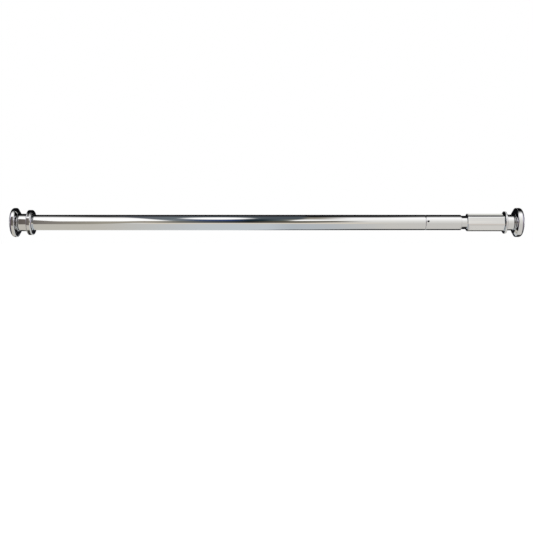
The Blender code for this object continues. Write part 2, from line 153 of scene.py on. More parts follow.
def lathe(name, outline, segments=ROUND, sharp=40.0):
    """Turn a closed outline of (x, radius) points, in metres, about the X axis."""
    bm = bmesh.new()
    rings = []
    for x, radius in supported(outline):
        if radius < 1e-7:
            rings.append([bm.verts.new((x, 0.0, 0.0))])
            continue
        ring = []
        for side in range(segments):
            angle = 2.0 * math.pi * side / segments
            ring.append(bm.verts.new((x, radius * math.cos(angle), radius * math.sin(angle))))
        rings.append(ring)
    for first, second in zip(rings, rings[1:] + rings[:1]):
        if len(first) == 1 and len(second) == 1:
            continue
        for side in range(segments):
            after = (side + 1) % segments
            corners = [first[side % len(first)], first[after % len(first)]]
            corners += [second[after % len(second)], second[side % len(second)]]
            bm.faces.new(list(dict.fromkeys(corners)))
    return as_object(name, bm, sharp)


def metres(outline):
    """An outline of points in millimetres, in metres."""
    return [tuple(value * MM for value in point) for point in outline]


def at_left(outline):
    """Place an outline, whose x counts from the face of the pad, at the left end."""
    return [(PAD_FACE_LEFT + x, radius) for x, radius in outline]


def at_right(outline):
    """Place it in mirror image at the right end."""
    return [(PAD_FACE_LEFT + BAR_LENGTH - x, radius) for x, radius in outline]


def radial(angle):
    """Unit vector away from the X axis, at an angle in degrees measured upwards from the front."""
    turn = math.radians(angle)
    return Vector((0.0, -math.cos(turn), math.sin(turn)))


def aimed(obj, x, angle):
    """Turn a piece that was made along +X so that it lies along a radial line at x, in its mesh."""
    direction = radial(angle)
    turn = Vector((1.0, 0.0, 0.0)).rotation_difference(direction).to_matrix().to_4x4()
    turn.translation = Vector((x, 0.0, 0.0))
    obj.data.transform(turn)
    return obj


def carve(target, cutter, operation="DIFFERENCE"):
    """Apply one Boolean and remove its cutter."""
    modifier = target.modifiers.new("carve", "BOOLEAN")
    modifier.operation = operation
    modifier.solver = "EXACT"
    modifier.object = cutter
    evaluated = target.evaluated_get(bpy.context.evaluated_depsgraph_get())
    mesh = bpy.data.meshes.new_from_object(evaluated)
    target.modifiers.clear()
    target.data = mesh
    bpy.data.objects.remove(cutter, do_unlink=True)
    return target


def prism(name, sides, radius, start, end, first=0.0, fillet=0.0):
    """A prism along +X between two x, its first corner at an angle in degrees, with rounded long edges."""
    corners = []
    for side in range(sides):
        angle = math.radians(first) + 2.0 * math.pi * side / sides
        corners.append((-radius * math.cos(angle), radius * math.sin(angle), fillet))
    bm = bmesh.new()
    rings = []
    for x in (start, end):
        rings.append([bm.verts.new((x, y, z)) for y, z in supported(rounded(corners))])
    bm.faces.new(rings[0])
    bm.faces.new(rings[1])
    for side, corner in enumerate(rings[0]):
        after = (side + 1) % len(rings[0])
        bm.faces.new((corner, rings[0][after], rings[1][after], rings[1][side]))
    return as_object(name, bm)


def finish_piece(obj, node, body, material):
    """Give a piece its material and its body, and hide the node that it stands for."""
    obj.data.materials.clear()
    obj.data.materials.append(material)
    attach(obj, body)
    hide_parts(node)
    return obj


# ---------------------------------------------------------------- materials

class Nodes:
    """A short way to write a material's node tree."""

    def __init__(self, name):
        self.material = bpy.data.materials.new(name)
        self.material.use_nodes = True
        self.tree = self.material.node_tree
        self.shader = self.tree.nodes["Principled BSDF"]
        self.place = self.tree.nodes.new("ShaderNodeTexCoord").outputs["Object"]

    def link(self, output, target):
        self.tree.links.new(output, target)

    def mapped(self, scale):
        node = self.tree.nodes.new("ShaderNodeMapping")
        node.inputs["Scale"].default_value = scale
        self.link(self.place, node.inputs["Vector"])
        return node.outputs["Vector"]

    def noise(self, scale, detail=4.0, roughness=0.55, stretch=(1.0, 1.0, 1.0), distortion=0.0):
        node = self.tree.nodes.new("ShaderNodeTexNoise")
        node.inputs["Scale"].default_value = scale
        node.inputs["Detail"].default_value = detail
        node.inputs["Roughness"].default_value = roughness
        node.inputs["Distortion"].default_value = distortion
        self.link(self.mapped(stretch), node.inputs["Vector"])
        return node.outputs["Fac"]

    def remap(self, value, low, high, out_low=0.0, out_high=1.0):
        node = self.tree.nodes.new("ShaderNodeMapRange")
        node.interpolation_type = "SMOOTHSTEP"
        node.inputs["From Min"].default_value = low
        node.inputs["From Max"].default_value = high
        node.inputs["To Min"].default_value = out_low
        node.inputs["To Max"].default_value = out_high
        self.link(value, node.inputs["Value"])
        return node.outputs["Result"]

    def math(self, operation, first, second):
        node = self.tree.nodes.new("ShaderNodeMath")
        node.operation = operation
        for value, target in ((first, node.inputs[0]), (second, node.inputs[1])):
            if isinstance(value, (int, float)):
                target.default_value = value
            else:
                self.link(value, target)
        return node.outputs["Value"]

    def mix(self, factor, first, second):
        node = self.tree.nodes.new("ShaderNodeMix")
        node.data_type = "RGBA"
        self.link(factor, node.inputs["Factor"])
        for value, target in ((first, node.inputs["A"]), (second, node.inputs["B"])):
            if isinstance(value, tuple):
                target.default_value = (*value, 1.0)
            else:
                self.link(value, target)
        return node.outputs["Result"]

    def radius(self):
        """Distance from the axis of the bar, in metres."""
        split = self.tree.nodes.new("ShaderNodeSeparateXYZ")
        self.link(self.place, split.inputs["Vector"])
        across = self.math("MULTIPLY", split.outputs["Y"], split.outputs["Y"])
        upward = self.math("MULTIPLY", split.outputs["Z"], split.outputs["Z"])
        return self.math("SQRT", self.math("ADD", across, upward), 0.0)

    def edges(self, low, high):
        geometry = self.tree.nodes.new("ShaderNodeNewGeometry")
        return self.remap(geometry.outputs["Pointiness"], low, high)

    def bump(self, height, strength, distance):
        node = self.tree.nodes.new("ShaderNodeBump")
        node.inputs["Strength"].default_value = strength
        node.inputs["Distance"].default_value = distance
        self.link(height, node.inputs["Height"])
        self.link(node.outputs["Normal"], self.shader.inputs["Normal"])


def chrome_material():
    """Bright chromium plate: faint polishing lines, finger smudges and a painted highlight that lightens its
    edges.
    """
    made = Nodes("polished_chrome")
    made.shader.inputs["Metallic"].default_value = 1.0
    tone = made.noise(9.0, detail=3.0)
    smudge = made.remap(made.noise(26.0, detail=6.0, roughness=0.6, distortion=0.8), 0.54, 0.72)
    lines = made.noise(90.0, detail=3.0, stretch=(26.0, 1.0, 1.0))
    colour = made.mix(tone, (0.795, 0.80, 0.81), (0.82, 0.812, 0.80))
    # Painted highlight: the base colour is lighter along convex edges, found by pointiness.
    colour = made.mix(made.edges(0.52, 0.60), colour, (0.86, 0.85, 0.84))
    made.link(colour, made.shader.inputs["Base Color"])
    rough = made.math("ADD", 0.022, made.math("MULTIPLY", smudge, 0.03))
    rough = made.math("ADD", rough, made.math("MULTIPLY", lines, 0.02))
    made.link(rough, made.shader.inputs["Roughness"])
    made.bump(lines, 0.018, 0.00004)
    return made.material


def plated_material():
    """Zinc-plated machined steel with turning marks, duller in the roots of its thread."""
    made = Nodes("zinc_plated_steel")
    made.shader.inputs["Metallic"].default_value = 1.0
    tone = made.noise(40.0, detail=5.0)
    turning = made.noise(260.0, detail=2.0, stretch=(14.0, 1.0, 1.0))
    colour = made.mix(tone, (0.56, 0.57, 0.58), (0.66, 0.65, 0.61))
    # Darker towards the roots of the thread, set by distance from the axis.
    root_darkening = made.remap(made.radius(), 0.0086, 0.0094, 1.0, 0.0)
    colour = made.mix(made.math("MULTIPLY", root_darkening, 0.75), colour, (0.20, 0.19, 0.17))
    made.link(colour, made.shader.inputs["Base Color"])
    rough = made.math("ADD", 0.2, made.math("MULTIPLY", turning, 0.22))
    made.link(rough, made.shader.inputs["Roughness"])
    made.bump(turning, 0.12, 0.00005)
    return made.material


def black_oxide_material():
    """Black oxide on the small screws, lighter along their edges: partly worn oxide, partly a painted
    highlight.
    """
    made = Nodes("black_oxide")
    made.shader.inputs["Metallic"].default_value = 1.0
    speck = made.noise(900.0, detail=4.0)
    colour = made.mix(speck, (0.030, 0.031, 0.034), (0.075, 0.075, 0.078))
    # Lighter along convex edges, found by pointiness: worn oxide and a painted highlight.
    colour = made.mix(made.edges(0.53, 0.62), colour, (0.40, 0.39, 0.38))
    made.link(colour, made.shader.inputs["Base Color"])
    made.link(made.remap(speck, 0.3, 0.7, 0.28, 0.48), made.shader.inputs["Roughness"])
    made.bump(speck, 0.1, 0.00003)
    return made.material


def rubber_material():
    """Moulded black rubber, fine-grained, with a painted highlight along its edges."""
    made = Nodes("moulded_rubber")
    grain = made.noise(1500.0, detail=3.0)
    bloom = made.noise(55.0, detail=5.0, roughness=0.65)
    colour = made.mix(bloom, (0.018, 0.018, 0.019), (0.040, 0.039, 0.038))
    # Painted highlight: the colour is lighter along convex edges, found by pointiness.
    colour = made.mix(made.edges(0.51, 0.58), colour, (0.075, 0.073, 0.070))
    made.link(colour, made.shader.inputs["Base Color"])
    made.link(made.remap(bloom, 0.3, 0.7, 0.58, 0.82), made.shader.inputs["Roughness"])
    made.bump(grain, 0.35, 0.00006)
    return made.material


def nylon_material():
    """Natural nylon, slightly cloudy, with fine turning marks."""
    made = Nodes("natural_nylon")
    cloud = made.noise(70.0, detail=4.0)
    marks = made.noise(300.0, detail=2.0, stretch=(10.0, 1.0, 1.0))
    colour = made.mix(cloud, (0.72, 0.69, 0.60), (0.82, 0.80, 0.73))
    made.link(colour, made.shader.inputs["Base Color"])
    made.link(made.remap(marks, 0.3, 0.7, 0.36, 0.52), made.shader.inputs["Roughness"])
    made.shader.inputs["Subsurface Weight"].default_value = 0.15
    made.shader.inputs["Subsurface Radius"].default_value = (0.002, 0.0016, 0.0012)
    made.bump(marks, 0.15, 0.00005)
    return made.material


CHROME = chrome_material()
PLATED = plated_material()
BLACK_OXIDE = black_oxide_material()
RUBBER = rubber_material()
NYLON = nylon_material()
SLOT_MATERIALS = {
    "chrome": CHROME, "plated_steel": PLATED, "dark_steel": BLACK_OXIDE, "rubber": RUBBER, "nylon": NYLON,
}


# ---------------------------------------------------------------- end fittings

CUP_SHEET = 1.6
CUP_BACK_RADIUS = 17.8
CUP_DISH = 4.4
CUP_CORNER = 1.8
CUP_BACK_EDGE = 1.5
CUP_LIP_CENTRE = 6.2
CUP_LIP_OPENING = 18.8
CUP_HOLE = 4.2


def cup(side, body, place):
    """A pressed cup: dished back, rounded corner and a lip that turns in at the mouth."""
    node = side + "_end_cup"
    low, high, radius = span(node)
    depth = (high - low) / MM
    mouth = (low - PAD_FACE_LEFT) / MM
    if side == "right":
        mouth = (PAD_FACE_LEFT + BAR_LENGTH - high) / MM
    back = mouth + depth
    radius = radius / MM
    corner = (back - CUP_DISH, radius - CUP_CORNER)
    back_edge = (back - CUP_BACK_EDGE, CUP_BACK_RADIUS)
    inner = CUP_CORNER - CUP_SHEET
    lip = (CUP_LIP_CENTRE, CUP_LIP_OPENING)
    outer_lip = (CUP_LIP_CENTRE - mouth, radius - CUP_LIP_OPENING)
    inner_lip = (outer_lip[0] - CUP_SHEET, outer_lip[1] - CUP_SHEET)
    outline = arc(lip, outer_lip, 180.0, 90.0, steps=20)
    outline += arc(corner, (CUP_CORNER, CUP_CORNER), 90.0, 30.0, steps=10)
    outline += arc(back_edge, (CUP_BACK_EDGE, CUP_BACK_EDGE), 30.0, 0.0, steps=6)
    outline += [(back, CUP_HOLE), (back - CUP_SHEET, CUP_HOLE), (back - CUP_SHEET, CUP_BACK_RADIUS)]
    outline += arc(corner, (inner, inner), 30.0, 90.0, steps=6)
    outline += arc(lip, inner_lip, 90.0, 180.0, steps=12)
    piece = lathe(node + "_shell", place(metres(outline)))
    finish_piece(piece, node, body, CHROME)


PAD_MOUTH = 17.0
PAD_FLANGE = 22.0
PAD_POCKET = 8.6
PAD_CENTRE = 3.7
PAD_RIB_DEPTH = 0.8
PAD_RIB_WIDTH = 1.2
PAD_RIB_RADII = (6.5, 10.0, 13.5)
PAD_ROUND = 0.28


def pad(side, body, place):
    """The rubber pad: ring grooves in its face, a flange that the cup holds and a pocket for the bolt."""
    node = side + "_rubber_pad"
    low, high, _ = span(node)
    back = (high - low) / MM
    outline = [(0.0, 0.0, 0.0)]
    for radius in PAD_RIB_RADII:
        outline += [
            (0.0, radius, PAD_ROUND), (PAD_RIB_DEPTH, radius, PAD_ROUND),
            (PAD_RIB_DEPTH, radius + PAD_RIB_WIDTH, PAD_ROUND), (0.0, radius + PAD_RIB_WIDTH, PAD_ROUND),
        ]
    outline += [
        (0.0, PAD_MOUTH, 0.9), (2.9, PAD_MOUTH, 0.4), (3.7, PAD_FLANGE - 1.5, 0.4), (6.2, PAD_FLANGE, 0.8),
        (back - 0.7, PAD_FLANGE, 0.3), (back, PAD_FLANGE - 0.8, 0.3), (back, PAD_POCKET, 0.4),
        (PAD_CENTRE, PAD_POCKET, 0.4), (PAD_CENTRE, 0.0, 0.0),
    ]
    piece = lathe(node + "_moulding", place(rounded(metres(outline))))
    finish_piece(piece, node, body, RUBBER)


NECK_WEB = 2.0
LEFT_FLANGE_WIDTH = 9.0
RIGHT_FLANGE_WIDTH = 3.5


def left_neck():
    """The flanged neck that the main tube turns in."""
    start, end, radius = (value / MM for value in span("left_flanged_neck"))
    neck = 14.4
    bore = 13.0
    flange = end - LEFT_FLANGE_WIDTH
    web = start + NECK_WEB
    outline = [
        (start, CUP_HOLE, 0.0), (start, neck, 1.0), (flange, neck, 1.2), (flange, radius, 1.5),
        (end, radius, 2.8), (end, bore, 0.5), (web, bore, 0.5), (web, CUP_HOLE, 0.0),
    ]
    piece = lathe("left_flanged_neck_turning", rounded(metres(outline)))
    finish_piece(piece, "left_flanged_neck", "left_end", CHROME)


def right_neck():
    """The flanged neck that the slide tube turns in, with its thinner flange."""
    start, end, radius = (value / MM for value in span("right_flanged_neck"))
    neck = 13.1
    bore = 11.45
    flange = start + RIGHT_FLANGE_WIDTH
    web = end - NECK_WEB
    outline = [
        (start, bore, 0.4), (start, radius, 1.0), (flange, radius, 1.0), (flange, neck, 1.0),
        (end, neck, 1.0), (end, CUP_HOLE, 0.0), (web, CUP_HOLE, 0.0), (web, bore, 0.5),
    ]
    piece = lathe("right_flanged_neck_turning", rounded(metres(outline)))
    finish_piece(piece, "right_flanged_neck", "right_end", CHROME)


# ---------------------------------------------------------------- tubes and sleeve

CRIMP_X = 682.7
CRIMP_HALF_WIDTH = 0.9
CRIMP_DEPTH = 0.5
CRIMP_STEPS = 14
PIN_X = 686.3
PIN_ANGLE = 8.6
PIN_HOLE = 1.6
LOCK_X = 781.3
LOCK_ANGLE = 192.5
LOCK_HOLE = 2.3
HEX_FLATS = 27.0
HEX_CORNER = HEX_FLATS / math.sqrt(3.0)
HEX_FILLET = 6.0
HEX_FIRST_EDGE = 42.5


def countersunk(name, x, angle, hole, inner, surface, sink=0.2):
    """A cutter for a radial hole whose mouth is countersunk."""
    outline = [
        (inner, 0.0), (inner, hole), (surface - sink, hole), (surface + 0.3, hole + sink + 0.3),
        (surface + 2.0, hole + sink + 0.3), (surface + 2.0, 0.0),
    ]
    return aimed(lathe(name, metres(outline), SMALL_ROUND), x * MM, angle)


def crimp(radius):
    """The rolled ring's cosine dip in a wall of the main tube, from left to right."""
    points = []
    for step in range(CRIMP_STEPS + 1):
        share = 2.0 * step / CRIMP_STEPS - 1.0
        dip = 0.5 + 0.5 * math.cos(math.pi * share)
        points.append((CRIMP_X + CRIMP_HALF_WIDTH * share, radius - CRIMP_DEPTH * dip))
    return points


def main_tube():
    """The long chromed tube, with its rolled crimp ring and the countersunk hole of the pin."""
    start, end, radius = (value / MM for value in span("main_tube"))
    bore = 11.5
    edge = 0.35
    outline = [(start, bore), (start, radius - edge), (start + 0.1, radius - 0.12), (start + edge, radius)]
    outline += crimp(radius)
    patch = 2.6
    cells = 26
    outline += [(PIN_X + patch * (2.0 * cell / cells - 1.0), radius) for cell in range(cells + 1)]
    outline += [(end - edge, radius), (end - 0.1, radius - 0.12), (end, radius - edge), (end, bore)]
    outline += crimp(bore)[::-1]
    piece = lathe("main_tube_drawn", metres(outline), TUBE_ROUND, sharp=50.0)
    carve(piece, countersunk("pin_hole_cutter", PIN_X, PIN_ANGLE, PIN_HOLE, bore - 1.0, radius, 0.45))
    finish_piece(piece, "main_tube", "bar", CHROME)


def slide_tube():
    """The smooth tube between the main tube and the sleeve."""
    start, end, radius = (value / MM for value in span("slide_tube"))
    bore = 9.85
    outline = [(start, bore, 0.2), (start, radius, 0.4), (end, radius, 0.4), (end, bore, 0.2)]
    piece = lathe("slide_tube_drawn", rounded(metres(outline)), TUBE_ROUND)
    finish_piece(piece, "slide_tube", "screw", CHROME)


def bevelled(obj, width, segments=3):
    """Round every hard edge of a piece and keep its flats flat."""
    bevel = obj.modifiers.new("edge", "BEVEL")
    bevel.width = width
    bevel.segments = segments
    bevel.limit_method = "ANGLE"
    bevel.angle_limit = math.radians(25.0)
    bevel.harden_normals = True
    return obj


def hex_sleeve():
    """The six-sided sleeve: a chamfered bar cut to six flats, its edges broken."""
    low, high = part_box("hex_sleeve")
    start = low[0] / MM
    end = high[0] / MM
    bar = HEX_CORNER + 0.2
    bore = 11.45
    chamfer = 1.6
    outline = [
        (start, bore), (start, bar - chamfer), (start + chamfer, bar),
        (end - chamfer, bar), (end, bar - chamfer), (end, bore),
    ]
    piece = lathe("hex_sleeve_milled", metres(outline), ROUND)
    flats = prism(
        "hex_cutter", 6, HEX_CORNER * MM, (start - 1.0) * MM, (end + 1.0) * MM,
        first=HEX_FIRST_EDGE, fillet=HEX_FILLET * MM,
    )
    carve(piece, flats, "INTERSECT")
    carve(piece, countersunk("lock_hole_cutter", LOCK_X, LOCK_ANGLE, LOCK_HOLE, 10.5, 0.5 * HEX_FLATS))
    bevelled(piece, 0.25 * MM)
    finish_piece(piece, "hex_sleeve", "screw", CHROME)


def socket_screw(name, node, body, x, angle, radius, tip, head, flats, depth):
    """A headless socket screw that points at the axis, from a radius at its tip to one at its head."""
    outline = [(tip, 0.0, 0.0), (tip, radius, 0.2), (head, radius, 0.25), (head, 0.0, 0.0)]
    piece = lathe(name, rounded(metres(outline)), SMALL_ROUND)
    socket = prism(name + "_socket", 6, flats / math.sqrt(3.0) * MM, (head - depth) * MM, (head + 1.0) * MM)
    carve(piece, socket)
    aimed(piece, x * MM, angle)
    finish_piece(piece, node, body, BLACK_OXIDE)


# ---------------------------------------------------------------- thread

PITCH = 5.0
THREAD_START = 575.5
THREAD_TURNS = 26
THREAD_FADE = 0.35
CREST = 9.5
ROOT = 8.5
THREAD_CREST_WIDTH = 1.6
THREAD_FLANK = 0.9
SCREW_ROUND = 96


def thread_profile():
    """(offset along the pitch, depth from 0 to 1) of a trapezoidal thread with softened corners."""
    soft = 0.22
    crest = THREAD_CREST_WIDTH
    flank = THREAD_FLANK
    root = PITCH - crest - 2.0 * flank
    return [
        (0.0, 0.0), (crest - soft, 0.0), (crest + 0.4 * soft, 0.10), (crest + flank - 0.4 * soft, 0.90),
        (crest + flank + soft, 1.0), (crest + flank + root - soft, 1.0),
        (crest + flank + root + 0.4 * soft, 0.90), (PITCH - 0.4 * soft, 0.10),
    ]


def screw_vert(bm, column, x, radius):
    """One vertex of the screw, at a column of its circumference."""
    angle = 2.0 * math.pi * column / SCREW_ROUND
    return bm.verts.new((x * MM, radius * math.cos(angle) * MM, radius * math.sin(angle) * MM))


def thread_grid(bm, profile):
    """The thread's vertices by column and row along the helix; the last column is the first, a turn on."""
    rows = len(profile)
    last_row = rows * THREAD_TURNS
    grid = {}
    for column in range(SCREW_ROUND):
        extra = rows if column == 0 else 0
        for row in range(last_row + extra + 1):
            turn = row // rows + column / SCREW_ROUND
            fade = min(turn - 1.0, THREAD_TURNS - turn) / THREAD_FADE
            fade = max(0.0, min(1.0, fade))
            offset, depth = profile[row % rows]
            radius = CREST + (ROOT - CREST) * depth * fade
            grid[column, row] = screw_vert(bm, column, THREAD_START + PITCH * turn + offset, radius)
    for row in range(last_row + 1):
        grid[SCREW_ROUND, row] = grid[0, row + rows]
    return grid


def screw_faces(bm, grid, rings, rows):
    """The faces of the thread and of the plain ends, and the two rings of faces that join them."""
    last_row = rows * THREAD_TURNS
    for column in range(SCREW_ROUND):
        for row in range(last_row):
            bm.faces.new((
                grid[column, row], grid[column + 1, row],
                grid[column + 1, row + 1], grid[column, row + 1],
            ))
    for before, after in zip(rings, rings[1:]):
        for column in range(SCREW_ROUND):
            following = (column + 1) % SCREW_ROUND
            bm.faces.new((before[column], before[following], after[following], after[column]))
    for column in range(SCREW_ROUND):
        following = (column + 1) % SCREW_ROUND
        start_face = [rings[-1][column], rings[-1][following], grid[column + 1, 0], grid[column, 0]]
        end_face = [rings[0][following], rings[0][column]]
        end_face += [grid[column, last_row], grid[column + 1, last_row]]
        if column == SCREW_ROUND - 1:
            start_face[2:2] = [grid[0, row] for row in range(rows)]
        if column == 0:
            end_face[2:2] = [grid[0, last_row + rows - step] for step in range(rows)]
        bm.faces.new(start_face)
        bm.faces.new(end_face)


def jack_screw():
    """The hollow screw: its thread is one grid that runs along the helix and fades out at both ends."""
    nose, end, _ = (value / MM for value in span("jack_screw"))
    bore = 6.2
    nose_radius = 7.8
    shoulder = 544.0
    groove = (528.2, 529.6)
    rest = [
        (end - 0.6, CREST), (end, CREST - 0.6), (end, bore), (nose, bore), (nose, nose_radius - 0.4),
        (nose + 0.4, nose_radius), (groove[0], nose_radius), (groove[0], 7.0), (groove[1], 7.0),
        (groove[1], nose_radius), (shoulder, nose_radius), (shoulder, CREST), (THREAD_START - 1.0, CREST),
    ]
    profile = thread_profile()
    bm = bmesh.new()
    grid = thread_grid(bm, profile)
    rings = [[screw_vert(bm, column, x, radius) for column in range(SCREW_ROUND)] for x, radius in rest]
    screw_faces(bm, grid, rings, len(profile))
    piece = as_object("jack_screw_rolled", bm, sharp=60.0)
    finish_piece(piece, "jack_screw", "screw", PLATED)


# ---------------------------------------------------------------- studio

CAMERA_DISTANCE = 1.423
CAMERA_X = 0.4209
CAMERA_LENS = 58.09
CAMERA_PITCH = 2.93
TENT_RADIUS = 1.3
TENT_REACH = 0.8
TENT_FINE = 0.32
TENT_ROWS = 300
TENT_OUTER_COLUMNS = 60
TENT_FINE_COLUMNS = 720
TENT_END_RADIUS = 0.01
FLOOR_Z = -0.8
FLOOR_REACH = 30.0
WHITE = 1.0 / 0.8
BLACK = (12, 12, 14)


def srgb(red, green, blue):
    """A colour as it looks on a screen, from 0 to 255, as light reflected by the chrome."""
    values = np.array((red, green, blue)) / 255.0
    return np.where(values <= 0.04045, values / 12.92, ((values + 0.055) / 1.055) ** 2.4) * WHITE


def smooth(value, low, high):
    """0 below low, 1 above high and a smooth step between them; low may be the greater."""
    share = np.clip((value - low) / (high - low), 0.0, 1.0)
    return share * share * (3.0 - 2.0 * share)


def blend(colour, other, mask):
    """Paint one colour over another through a mask."""
    return colour + (other - colour) * mask[..., None]


def gradient(place, stops):
    """Colours that blend between a few (place, colour) stops."""
    places = [stop for stop, _ in stops]
    colours = np.array([srgb(*colour) for _, colour in stops])
    return np.stack([np.interp(place, places, colours[:, channel]) for channel in range(3)], axis=-1)


def overhead_light(side, height):
    """The long white light above the camera, greyer towards the right, and the black ceiling behind it."""
    colour = np.zeros(side.shape + (3,)) + srgb(255, 255, 255)
    colour = blend(colour, srgb(204, 203, 199), smooth(side, 0.03, 0.12) * smooth(height, 75.0, -5.0))
    veil = smooth(side, 0.0, 0.02) * smooth(side, 0.105, 0.055) * smooth(height, 30.0, 58.0)
    colour = blend(colour, srgb(150, 147, 137), veil)
    rim = 69.0 - 11.0 * smooth(side, -0.26, -0.17) + 8.0 * smooth(side, 0.12, 0.20)
    return blend(colour, srgb(*BLACK), smooth(height, rim, rim + 40.0))


def table(colour, side, height):
    """The pale table: warm at the left, cool in the middle, neutral at the right and beige at its edge."""
    top = gradient(side, (
        (-0.20, (184, 181, 173)), (-0.08, (187, 192, 196)), (0.0, (186, 193, 199)),
        (0.03, (172, 179, 185)), (0.08, (178, 182, 185)), (0.14, (193, 191, 187)),
    ))
    colour = blend(colour, top, smooth(height, -2.0, -18.0))
    beige = smooth(height, -25.0, -17.0) * smooth(height, 4.0, -6.0)
    beige = beige * smooth(side, -0.16, -0.12) * smooth(side, 0.16, 0.08)
    return blend(colour, srgb(209, 201, 187), beige)


def dark_side(colour, side, height):
    """The dark shapes on the camera's side of the room, and the bright streak that lies across them."""
    left_edge = -0.0896 - 0.00088 * height
    right_edge = 0.028 + 0.017 * smooth(height, 25.0, 55.0)
    inside = smooth(side, left_edge - 0.009, left_edge + 0.009)
    inside = inside * smooth(side, right_edge + 0.007, right_edge - 0.007) * smooth(height, 14.0, 22.0)
    slate = gradient(side, ((-0.15, (86, 90, 98)), (-0.11, (100, 108, 113)), (0.0, (72, 80, 86))))
    slate = blend(slate, srgb(48, 48, 52), smooth(height, 82.0, 112.0))
    under = gradient(side, (
        (-0.102, (112, 120, 126)), (-0.078, (60, 76, 108)), (-0.043, (46, 64, 110)),
        (-0.022, (24, 40, 54)), (-0.004, (26, 42, 50)), (0.015, (74, 84, 88)), (0.03, (120, 122, 116)),
    ))
    colour = blend(colour, blend(under, slate, smooth(height, 40.0, 56.0)), inside)
    reach = ((side + 0.057) / 0.041) ** 2 + ((height - 63.0) / 18.5) ** 2
    return blend(colour, srgb(255, 255, 255), smooth(reach, 1.5, 0.4))


def table_edge(colour, side, height):
    """The dark edge between the table and everything above it, which fades out towards the right."""
    upper = 17.0 + 5.0 * smooth(side, -0.17, -0.14) + 30.0 * smooth(side, -0.235, -0.29)
    lower = -25.0 + 19.0 * smooth(side, -0.21, -0.14) + 7.0 * smooth(side, 0.03, 0.09)
    edge = smooth(height, upper + 3.0, upper - 3.0) * smooth(height, lower - 3.0, lower + 3.0)
    brown = gradient(side, (
        (-0.285, (92, 86, 82)), (-0.26, (118, 113, 108)), (-0.19, (150, 146, 134)),
        (-0.13, (146, 140, 128)), (-0.10, (104, 104, 98)), (-0.07, (68, 73, 80)),
        (-0.02, (33, 35, 34)), (0.03, (90, 86, 74)),
    ))
    return blend(colour, brown, edge * smooth(side, 0.125, 0.075))


def black_surround(colour, side, height):
    """Black behind the bar, above and below; the floor stays pale at the left."""
    colour = blend(colour, srgb(*BLACK), smooth(height, 106.0, 120.0))
    rim = -110.0 - 14.0 * smooth(side, 0.12, 0.04) - 32.0 * smooth(side, 0.04, -0.05)
    rim = rim + 42.0 * smooth(side, -0.272, -0.282) - 30.0 * smooth(side, -0.287, -0.292)
    return blend(colour, srgb(22, 22, 26), smooth(height, rim, rim - 10.0))


def beside_sleeve(colour, side, height):
    """Narrow strips that the sleeve and the tube beside it reflect to the camera in front: a pale wall
    behind, and wider black above and below. From other sides the main tube reflects them too.
    """
    near = smooth(side, 0.2240, 0.2255) * smooth(side, 0.2335, 0.2318)
    sleeve = smooth(side, 0.2320, 0.2340) * smooth(side, 0.2762, 0.2744)
    wall = smooth(height, 138.0, 146.0) * smooth(height, 174.0, 166.0)
    facet = smooth(height, 8.0, 16.0) * smooth(height, 58.0, 50.0)
    line = smooth(height, -14.0, -8.0) * smooth(height, 14.0, 6.0)
    colour = blend(colour, srgb(10, 10, 14), near * smooth(height, 70.0, 84.0))
    colour = blend(colour, srgb(10, 10, 14), near * smooth(height, -70.0, -86.0))
    colour = blend(colour, srgb(212, 211, 208), sleeve * facet)
    colour = blend(colour, srgb(196, 184, 174), sleeve * line)
    colour = blend(colour, srgb(201, 199, 195), sleeve * smooth(height, -60.0, -75.0))
    colour = blend(colour, srgb(20, 20, 18), sleeve * smooth(height, 60.0, 78.0))
    colour = blend(colour, srgb(14, 14, 14), sleeve * smooth(height, -99.0, -105.0))
    return blend(colour, srgb(208, 208, 204), sleeve * wall)


def beside_flanges(colour, side, height):
    """Narrower strips that the rims of the flanges reflect to the camera in front: black above and below
    at the left, white at the right.
    """
    left = smooth(side, -0.2768, -0.2758) * smooth(side, -0.2700, -0.2712)
    right = smooth(side, 0.2742, 0.2752) * smooth(side, 0.2785, 0.2775)
    colour = blend(colour, srgb(10, 10, 12), left * smooth(height, 46.0, 60.0))
    colour = blend(colour, srgb(12, 12, 12), left * smooth(height, -66.0, -82.0))
    colour = blend(colour, srgb(250, 250, 250), right * smooth(height, 60.0, 80.0))
    return blend(colour, srgb(236, 233, 226), right * smooth(height, -80.0, -100.0))


def far_ends(colour, side, height):
    """The ends of the room: dim and purplish, with a paler strip high up on the camera's side."""
    left = gradient(height, (
        (-105.0, BLACK), (-75.0, (88, 80, 96)), (0.0, (104, 94, 102)), (34.0, (98, 92, 106)),
        (50.0, (190, 187, 204)), (84.0, (190, 187, 204)), (100.0, BLACK),
    ))
    right = gradient(height, (
        (-105.0, BLACK), (-75.0, (98, 92, 104)), (-30.0, (124, 117, 128)), (0.0, (122, 114, 126)),
        (30.0, (172, 168, 186)), (84.0, (176, 172, 190)), (100.0, BLACK),
    ))
    colour = blend(colour, left, smooth(side, -0.42, -0.56))
    return blend(colour, right, smooth(side, 0.42, 0.56))


def rear_panels(colour, side, height):
    """Panels far behind the bar: dim in the middle, where the cups' edges see them, and pale beside it."""
    away = np.abs(side)
    behind = np.abs(height)
    colour = blend(colour, srgb(140, 141, 146), smooth(behind, 166.0, 172.0) * smooth(away, 0.09, 0.12))
    return blend(colour, srgb(232, 233, 235), smooth(behind, 158.0, 164.0) * smooth(away, 0.40, 0.46))


STUDIO_PAINTS = (
    table, dark_side, table_edge, black_surround, beside_sleeve, beside_flanges, far_ends, rear_panels,
)


def studio_colour(side, height):
    """What the bar reflects: `side` is the slope to the right and `height` the angle above the front, in
    degrees, which is 90 overhead and 180 behind the bar.
    """
    colour = overhead_light(side, height)
    for paint in STUDIO_PAINTS:
        colour = paint(colour, side, height)
    return colour


